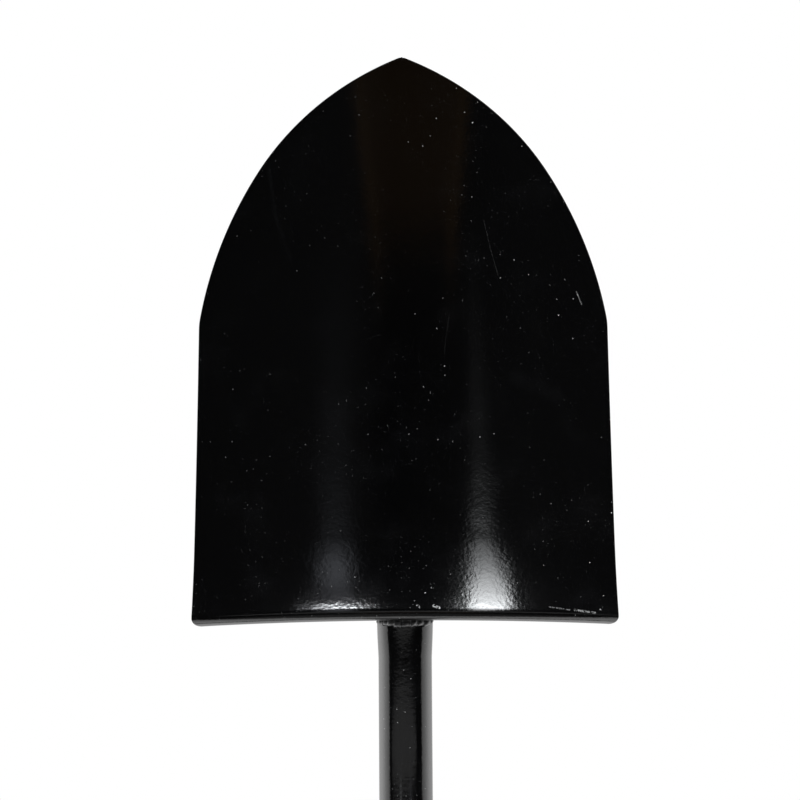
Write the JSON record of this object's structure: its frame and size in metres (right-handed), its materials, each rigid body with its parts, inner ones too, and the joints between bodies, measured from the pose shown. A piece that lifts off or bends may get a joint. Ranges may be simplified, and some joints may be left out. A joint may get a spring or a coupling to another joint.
{
  "type": "round point shovel",
  "caption": "All-steel digging shovel with a dished, pointed blade, rolled foot treads, a bent tubular shaft welded to the blade's back, and a D-shaped grip.",
  "frame": {"origin": "on the shaft's centre line, in the plane that touches the underside of the grip bar", "axes": "+Z along the straight shaft from the grip towards the blade, -Y the way the blade's hollow face looks, X across the blade"},
  "size_m": [0.2194, 0.1021, 1.0322],
  "materials": {
    "gloss_enamel": "high-gloss black enamel over steel, with fine orange peel, dust and light scratches",
    "weld_enamel": "enamel over rippled weld bead",
    "grip_moulding": "fine-textured black moulded polymer with ribs",
    "zinc_steel": "dull bright zinc plate"
  },
  "bodies": {
    "root": {"blade": "gloss_enamel", "shaft_tube": "gloss_enamel", "tread_weld": "weld_enamel", "side_weld_left": "weld_enamel", "side_weld_right": "weld_enamel", "nose_weld": "weld_enamel", "yoke_front": "gloss_enamel", "yoke_rear": "gloss_enamel", "grip_bar": "grip_moulding", "bar_core_tube": "zinc_steel", "bar_bolt": "zinc_steel", "bar_nut": "zinc_steel", "bar_washers": "zinc_steel", "neck_rivets": "zinc_steel"}
  },
  "joints": []
}
